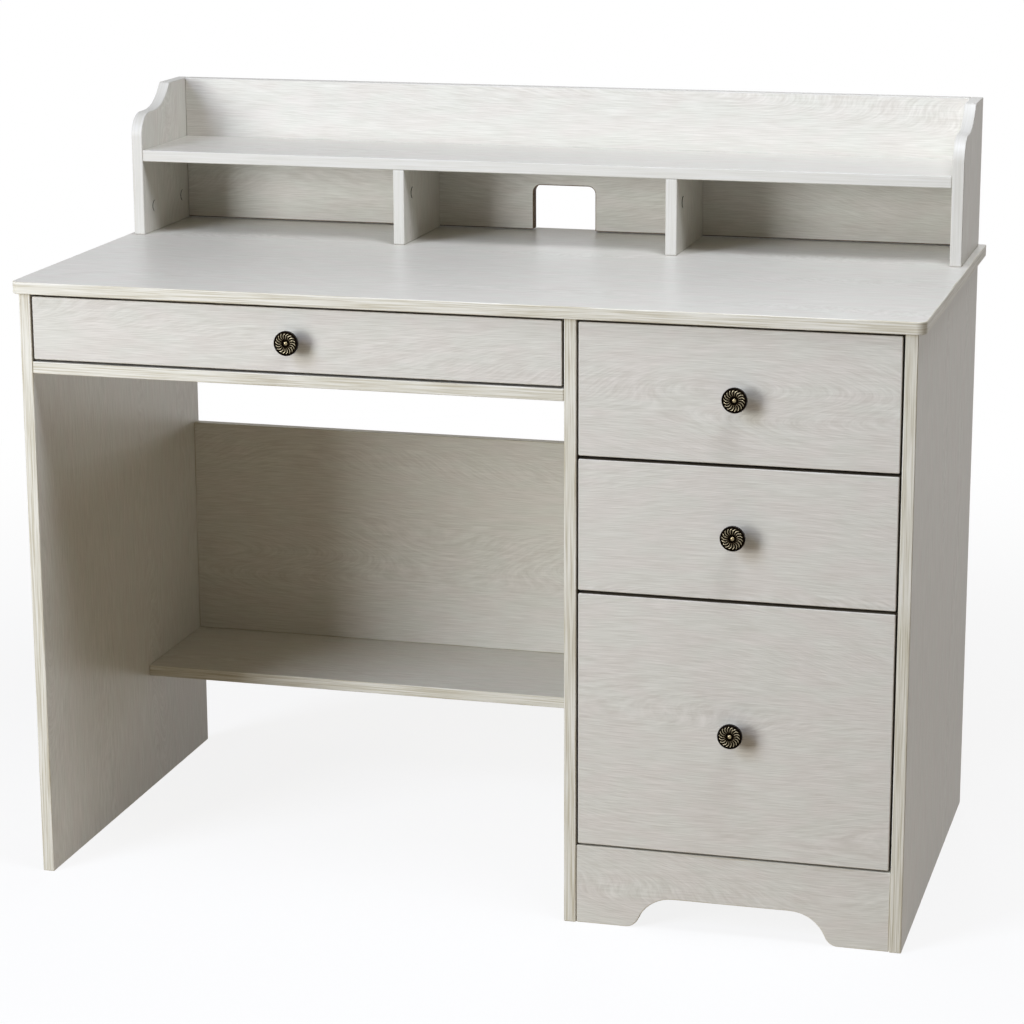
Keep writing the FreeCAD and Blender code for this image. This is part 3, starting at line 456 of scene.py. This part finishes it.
def hutch_end_corners(low, high):
    """A hutch end's outline: from the top, an eased edge, a cove down to a flat step, and a rounded
    shoulder."""
    cove, ease = (radius * SMOOTH_JOIN for radius in COVE_RADII)
    reach, cove_in, ease_in = s_corners(COVE_RADII, COVE_RISE)
    step, foot = high[1] - COVE_RISE, low[0] + SHOULDER + STEP
    return [(low[0], low[1], CORNER_RADIUS), (high[0], low[1], CORNER_RADIUS),
            (high[0], high[1], CORNER_RADIUS), (foot + reach - ease_in, high[1], ease),
            (foot + cove_in, step, cove), (low[0], step, SHOULDER)]


def hutch_back_corners(low, high):
    """The hutch back's outline: a rectangle with a cable notch in its lower edge."""
    return [(low[0], low[1], CORNER_RADIUS),
            (-NOTCH_HALF, low[1], CORNER_RADIUS), (-NOTCH_HALF, NOTCH_TOP, NOTCH_CORNER),
            (NOTCH_HALF, NOTCH_TOP, NOTCH_CORNER), (NOTCH_HALF, low[1], CORNER_RADIUS),
            (high[0], low[1], CORNER_RADIUS), (high[0], high[1], CORNER_RADIUS),
            (low[0], high[1], CORNER_RADIUS)]


RAW_AND_SHADE_SIDES = (0, 1, 2, 3, 4)  # sides of the hutch back in raw board: its notch, left raw, and its lower edge, whose brown is painted shade for the shadow line under the back
boards = []                  # boards made so far, each with its own stretch of the printed grain


def make_board(node, facing, grain, face, edge, slot, corners_of=rectangle, raw_and_shade_sides=(), wrapped=False):
    """Board: its outline is carried through its thickness on a profile of two quarter circles and a
    straight.

    At angle a of the quarter, the ring lies edge * (1 - sin a) inside the outline and
    edge * (1 - cos a) from the board's face, and its normal is sin a times the outline's normal plus
    cos a times the face's. The UV map, in metres, is along and across the grain on the faces, and along
    the edge and through the board on the edges. On a wrapped board the face's laminate goes on round
    the softened edge.
    """
    first, second, height, sign = FRAMES[facing]
    low, high = box_of(node)
    base, top = sorted((sign * low[height], sign * high[height]))
    corners = corners_of(low[[first, second]], high[[first, second]])
    outline, outward = (part.reshape(-1, 2) for part in rounded(corners))
    quarter = np.linspace(0, np.pi / 2, EDGE_STEPS + 1)
    inset = EDGE_RADIUS * (1 - np.sin(quarter))
    rise = EDGE_RADIUS * (1 - np.cos(quarter))
    inset = np.concatenate([inset, inset[::-1]])[:, None, None]
    level = np.concatenate([base + rise, top - rise[::-1]])
    lean = np.concatenate([np.sin(quarter), np.sin(quarter)[::-1]])[:, None, None]
    tilt = np.concatenate([-np.cos(quarter), np.cos(quarter)[::-1]])
    rings = np.empty((len(level), len(outline), 3))
    rings[..., :2] = outline - inset * outward
    rings[..., 2] = level[:, None]
    normals = np.empty_like(rings)
    normals[..., :2] = lean * outward
    normals[..., 2] = tilt[:, None]
    materials = [face, edge, RAW_BOARD_AND_SHADE] if raw_and_shade_sides else [face, edge]
    piece = add_piece(f"{node}_board", facing_world(rings, facing), skin(rings), materials, [node])

    mesh = piece.data
    mesh.normals_split_custom_set_from_vertices(facing_world(normals, facing).reshape(-1, 3).tolist())
    side_material = np.ones(len(corners), int)
    side_material[list(raw_and_shade_sides)] = 2
    edge_material = np.tile(np.repeat(side_material, ARC_STEPS + 1), (len(level) - 1, 1))
    if wrapped:
        edge_material[EDGE_STEPS + 1:] = 0
    face_material = np.append(edge_material, [0, 0]).astype(np.int32)
    mesh.polygons.foreach_set("material_index", face_material)

    lengths = np.linalg.norm(np.diff(outline, axis=0, append=outline[:1]), axis=1)
    along = np.concatenate([[0], np.cumsum(lengths)])
    here, there = np.broadcast_arrays(along[:-1], level[:-1, None])
    after, above = np.broadcast_arrays(along[1:], level[1:, None])
    edge_uv = np.stack([here, there, after, there, after, above, here, above], axis=-1).reshape(-1, 2)
    order = [0, 1] if "xyz".index(grain) == first else [1, 0]
    face_uv = np.concatenate([rings[0, ::-1][:, order], rings[-1][:, order]])
    shift = np.mod(len(boards) * np.array(GRAIN_SHIFT), GRAIN_SHEET)
    uv = np.concatenate([edge_uv, face_uv]) + shift
    mesh.uv_layers.new(name="grain").uv.foreach_set("vector", uv.astype(np.float32).ravel())
    boards.append(piece)


def make_carcass():
    """The desk's and the hutch's boards."""
    desk = (OAK, BEIGE_BAND, "oak_laminate")
    hutch = (OAK, PALE_BAND, "oak_laminate")
    make_board("desktop", "+z", "x", *desk, desktop_corners)
    for panel in ("left_side_panel", "divider_panel", "right_side_panel"):
        make_board(panel, "+x", "z", *desk)
    for shelf in ("pencil_drawer_shelf", "foot_shelf", "pedestal_bottom_panel"):
        make_board(shelf, "+z", "x", *desk)
    make_board("modesty_panel", "-y", "x", *desk)
    make_board("pedestal_back_panel", "-y", "z", *desk)
    make_board("kick_plate", "-y", "x", *desk, kick_plate_corners)
    for end in ("hutch_left_end", "hutch_right_end"):
        make_board(end, "+x", "z", *hutch, hutch_end_corners)
    for divider in ("hutch_left_divider", "hutch_right_divider"):
        make_board(divider, "+x", "z", *hutch)
    make_board("hutch_shelf", "+z", "x", *hutch)
    # The notch's edges are raw board; the lower edge's raw brown is painted shade for the shadow line
    # under the back.
    make_board("hutch_back_panel", "-y", "x", *hutch, hutch_back_corners, RAW_AND_SHADE_SIDES)


def make_drawer_boards(drawer):
    """A drawer's front in the desk's laminate, and its box in paper foil with a thin bottom."""
    # The front's flat edges carry the painted gap shade, dark as the shadow in the gaps round it.
    make_board(f"{drawer}_front", "-y", "x", OAK, GAP_SHADE_BAND, "oak_laminate", wrapped=True)
    for side in ("left_side", "right_side"):
        make_board(f"{drawer}_{side}", "+x", "y", FOIL, FOIL, "drawer_board")
    make_board(f"{drawer}_back", "-y", "x", FOIL, FOIL, "drawer_board")
    make_board(f"{drawer}_bottom", "+z", "x", HARDBOARD, HARDBOARD, "drawer_bottom")


# Turned pieces

def full_turn(around):
    """Angles of the points of a ring, in even steps."""
    return np.linspace(0, 2 * np.pi, around, endpoint=False)


def turned(profile, around):
    """Rings of a surface of revolution: each profile point (radius, height) goes round as
    (radius * cos turn, radius * sin turn, height)."""
    turn = full_turn(around)
    radius, height = profile[:, :1], profile[:, 1:]
    return np.stack(np.broadcast_arrays(radius * np.cos(turn), radius * np.sin(turn), height), axis=-1)


def make_knob(drawer):
    """Rosette knob: a turned profile whose dished face carries curved ridges round a bead.

    The rings are spaced evenly along the profile. Between the bead and the rim, with f from 0 to 1, a
    ridge follows turn = swirl * f^2 - bulge * sin(pi * f), clockwise. Across the ridges runs a plain
    wave of n periods, cut to level tops and hollows by a smooth step, and the ridge falls off at its
    two ends. The attribute "worn" holds how far a point is rubbed: more towards the ridges' outer ends,
    and down to the brass on the bead.
    """
    node = f"{drawer}_knob"
    low, high = box_of(node)
    points = rounded(np.array(KNOB_PROFILE) * MM)[0].reshape(-1, 2)
    length = np.concatenate([[0], np.cumsum(np.linalg.norm(np.diff(points, axis=0), axis=1))])
    even = np.linspace(0, length[-1], int(length[-1] / KNOB_RING))
    profile = np.stack([np.interp(even, length, column) for column in points.T], axis=1)
    rings = turned(profile, KNOB_AROUND)

    radius = profile[:, :1]
    on_face = profile[:, 1:] > KNOB_FACE
    span = np.clip((radius - RIDGE_SPAN[0]) / (RIDGE_SPAN[1] - RIDGE_SPAN[0]), 0, 1)
    clockwise = SWIRL * span ** 2 - BULGE * np.sin(np.pi * span)
    wave = (1 + np.cos(RIDGES * (full_turn(KNOB_AROUND) + clockwise))) / 2
    level = np.clip((wave - RIDGE_SIDES[0]) / (RIDGE_SIDES[1] - RIDGE_SIDES[0]), 0, 1)
    ends = np.clip(np.minimum(span, 1 - span) / RIDGE_TIP, 0, 1)
    ridge = on_face * ends * level ** 2 * (3 - 2 * level)
    rings[..., 2] += RIDGE_HEIGHT * ridge
    bead = on_face * (radius < BEAD)
    worn = np.maximum(ridge * (RIDGE_WORN[0] + RIDGE_WORN[1] * span), BEAD_WORN * bead)

    rings[..., :2] += ((low + high) / 2)[[0, 2]]
    rings[..., 2] -= high[1]
    surface = facing_world(rings, "-y")
    piece = add_piece(f"{drawer}_rosette_knob", surface, skin(rings), [BRONZE], [node])
    rubbed = piece.data.attributes.new("worn", "FLOAT", "POINT")
    rubbed.data.foreach_set("value", worn.astype(np.float32).ravel())


def make_rollers(node):
    """A pair of nylon rollers: a closed profile of hub, dished web and rounded tyre, turned about the
    axle."""
    low, high = box_of(node)
    half = np.array(ROLLER_HALF) * MM
    radius = (high[2] - low[2]) / 2
    width = 2 * radius * ROLLER_WIDTH
    half[-1, 0] = radius
    other = half[::-1] * (1, -1, 1) + (0, width, 0)
    profile = rounded(np.concatenate([half, other]))[0].reshape(-1, 2)
    rings = turned(profile, ROLLER_AROUND)
    middle = (low + high) / 2
    pair = []
    for start in (low[0], high[0] - width):
        pair.append(facing_world(rings + (middle[1], middle[2], start), "+x"))
    faces = np.array(skin(rings, loop=True))
    faces = np.concatenate([faces, faces + rings[..., 0].size])
    piece = add_piece(f"{node}_turned", np.array(pair), faces.tolist(), [NYLON], [node])
    piece.data.set_sharp_from_angle(angle=np.radians(SHARP_TURN))


def make_cam_heads():
    """Heads of the cam locks: a low disc on each cam, faced with a cover foil, its side painted dark as
    painted shade for the shadow in a cam's bore.

    The cams' solids follow each other in the node's mesh with equal counts, so they part into equal
    blocks. A cam's axis is its shortest side, and its open end is the one that lies in a face of the
    board round it. The disc is a profile of four corners, turned about that axis.
    """
    mesh = frame["nodes"]["cam_locks"].data
    points = np.empty(len(mesh.vertices) * 3)
    mesh.vertices.foreach_get("co", points)
    cams = points.reshape(CAM_COUNT, -1, 3)
    lows, highs = cams.min(axis=1), cams.max(axis=1)
    board_boxes = np.array([box_of(board) for board in CAM_BOARDS])
    board_lows, board_highs = board_boxes[:, 0], board_boxes[:, 1]
    radius = np.median(highs - lows) / 2
    profile = rounded([
        (HEAD_POLE, -HEAD_SUNK, HEAD_EASE), (radius, -HEAD_SUNK, HEAD_EASE),
        (radius, HEAD_HEIGHT, HEAD_EASE), (HEAD_POLE, HEAD_HEIGHT, HEAD_EASE),
    ])[0].reshape(-1, 2)
    rings = turned(profile, HEAD_AROUND)
    heads = []
    for low, high in zip(lows, highs):
        axis = int(np.argmin(high - low))
        middle = (low + high) / 2
        inside = ((board_lows < middle) & (middle < board_highs)).all(axis=1)
        board = int(np.argmax(inside))
        sign = 1 if abs(high[axis] - board_highs[board][axis]) < FLUSH else -1
        facing = "-+"[sign > 0] + "xyz"[axis]
        first, second = FRAMES[facing][:2]
        end = high[axis] if sign > 0 else low[axis]
        heads.append(facing_world(rings + (middle[first], middle[second], sign * end), facing))

    faces = skin(rings)
    quads, ends = np.array(faces[:-2]), np.array(faces[-2:])
    starts = np.arange(CAM_COUNT) * rings[..., 0].size
    every = [face for start in starts for part in (quads, ends) for face in (part + start).tolist()]
    materials = [COVER_FOIL, BORE_SHADE_PAINT]
    piece = add_piece("cam_lock_heads", np.array(heads), every, materials, ["cam_locks"])
    # The side painted with the bore's shade is the profile's second corner and the straight after it.
    on_side = np.arange(len(profile) - 1) // (ARC_STEPS + 1) == 1
    dark = np.append(np.repeat(on_side, HEAD_AROUND), [False, False])
    piece.data.polygons.foreach_set("material_index", np.tile(dark, CAM_COUNT).astype(np.int32))
    piece.data.set_sharp_from_angle(angle=np.radians(SHARP_TURN))


make_carcass()
for drawer in DRAWERS:
    make_drawer_boards(drawer)
    make_knob(drawer)
    for pair in ("front_rollers", "rear_rollers"):
        make_rollers(f"{drawer}_{pair}")
make_cam_heads()

# Steel fittings keep their solids and get their finish.
finishes = {"cam_bolts": ZINC, "runner_screws": ZINC, "carcass_runners": EPOXY}
for drawer in DRAWERS:
    finishes[f"{drawer}_screws"] = ZINC
    finishes[f"{drawer}_runners"] = EPOXY
for node, finish in finishes.items():
    for material_slot in frame["nodes"][node].material_slots:
        material_slot.material = finish


# Stage

def seen_rays(tree):
    """1 for the rays that show the background: those of the camera, of reflections and through glass."""
    rays = add(tree, "LightPath").outputs
    mirrored = add(tree, "Math", {0: rays["Is Glossy Ray"], 1: rays["Is Transmission Ray"]},
                   operation="MAXIMUM").outputs[0]
    return add(tree, "Math", {0: rays["Is Camera Ray"], 1: mirrored}, operation="MAXIMUM").outputs[0]


def make_floor():
    """A pale floor that keeps the desk's shadow and turns to plain white away from it."""
    mesh = bpy.data.meshes.new("floor")
    side = FLOOR_HALF
    corners = [(-side, -side, 0), (side, -side, 0), (side, side, 0), (-side, side, 0)]
    mesh.from_pydata(corners, [], [(0, 1, 2, 3)])
    material, tree, shader = new_material("studio_floor")
    tree.nodes.remove(shader)
    seen = seen_rays(tree)
    place = add(tree, "TexCoord").outputs["Object"]
    away = add(tree, "VectorMath", {0: place}, operation="LENGTH").outputs["Value"]
    fade = add(tree, "MapRange", {"Value": away, "From Min": FADE[0], "From Max": FADE[1],
                                  "To Min": FLOOR_WHITE}, interpolation_type="SMOOTHSTEP").outputs[0]
    paper = add(tree, "BsdfDiffuse", {"Color": colour(FLOOR_PAPER)}).outputs[0]
    white = add(tree, "Emission", {"Color": colour(WHITE), "Strength": 1.0}).outputs[0]
    shown = add(tree, "MixShader", {0: fade, 1: paper, 2: white}).outputs[0]
    bounce = add(tree, "BsdfDiffuse", {"Color": colour(FLOOR_BOUNCE)}).outputs[0]
    both = add(tree, "MixShader", {0: seen, 1: bounce, 2: shown}).outputs[0]
    tree.links.new(both, tree.nodes["Material Output"].inputs["Surface"])
    mesh.materials.append(material)
    floor = bpy.data.objects.new("floor", mesh)
    bpy.context.scene.collection.objects.link(floor)


def make_world():
    """Even studio light, with a white background for the camera and for reflections."""
    world = bpy.data.worlds.new("studio")
    world.use_nodes = True
    tree = world.node_tree
    seen = seen_rays(tree)
    light = tree.nodes["Background"]
    light.inputs["Color"].default_value = colour(WORLD_TINT)
    light.inputs["Strength"].default_value = WORLD_LEVEL
    white = add(tree, "Background", {"Color": colour(WHITE), "Strength": 1.0}).outputs[0]
    both = add(tree, "MixShader", {0: seen, 1: light.outputs[0], 2: white}).outputs[0]
    tree.links.new(both, tree.nodes["World Output"].inputs["Surface"])
    bpy.context.scene.world = world


def make_lamp(name, place, side, power, tint):
    """A square softbox that faces the middle of the desk."""
    lamp = bpy.data.lights.new(name, "AREA")
    lamp.size = side
    lamp.energy = power
    lamp.color = colour(tint)[:3]
    holder = bpy.data.objects.new(name, lamp)
    aim = Vector(LAMP_AIM) - Vector(place)
    holder.matrix_world = Matrix.Translation(place) @ aim.to_track_quat("-Z", "Y").to_matrix().to_4x4()
    holder.visible_camera = False
    bpy.context.scene.collection.objects.link(holder)


def make_camera():
    """Camera from its yaw, pitch and roll: its columns are right, up and back."""
    yaw, pitch, roll = np.radians([CAMERA_YAW, CAMERA_PITCH, CAMERA_ROLL])
    forward = np.array([-np.sin(yaw) * np.cos(pitch), np.cos(yaw) * np.cos(pitch), -np.sin(pitch)])
    level = np.array([np.cos(yaw), np.sin(yaw), 0.0])
    above = np.cross(level, forward)
    right = np.cos(roll) * level + np.sin(roll) * above
    up = np.cos(roll) * above - np.sin(roll) * level
    camera = bpy.data.cameras.new("camera")
    camera.lens = LENS
    camera.sensor_width = SENSOR
    holder = bpy.data.objects.new("camera", camera)
    turn = Matrix(np.stack([right, up, -forward], axis=1).tolist()).to_4x4()
    holder.matrix_world = Matrix.Translation(CAMERA_PLACE) @ turn
    bpy.context.scene.collection.objects.link(holder)
    bpy.context.scene.camera = holder


make_floor()
make_world()
for lamp, settings in LAMPS.items():
    make_lamp(lamp, *settings)
make_camera()
bpy.context.scene.view_settings.view_transform = "Standard"
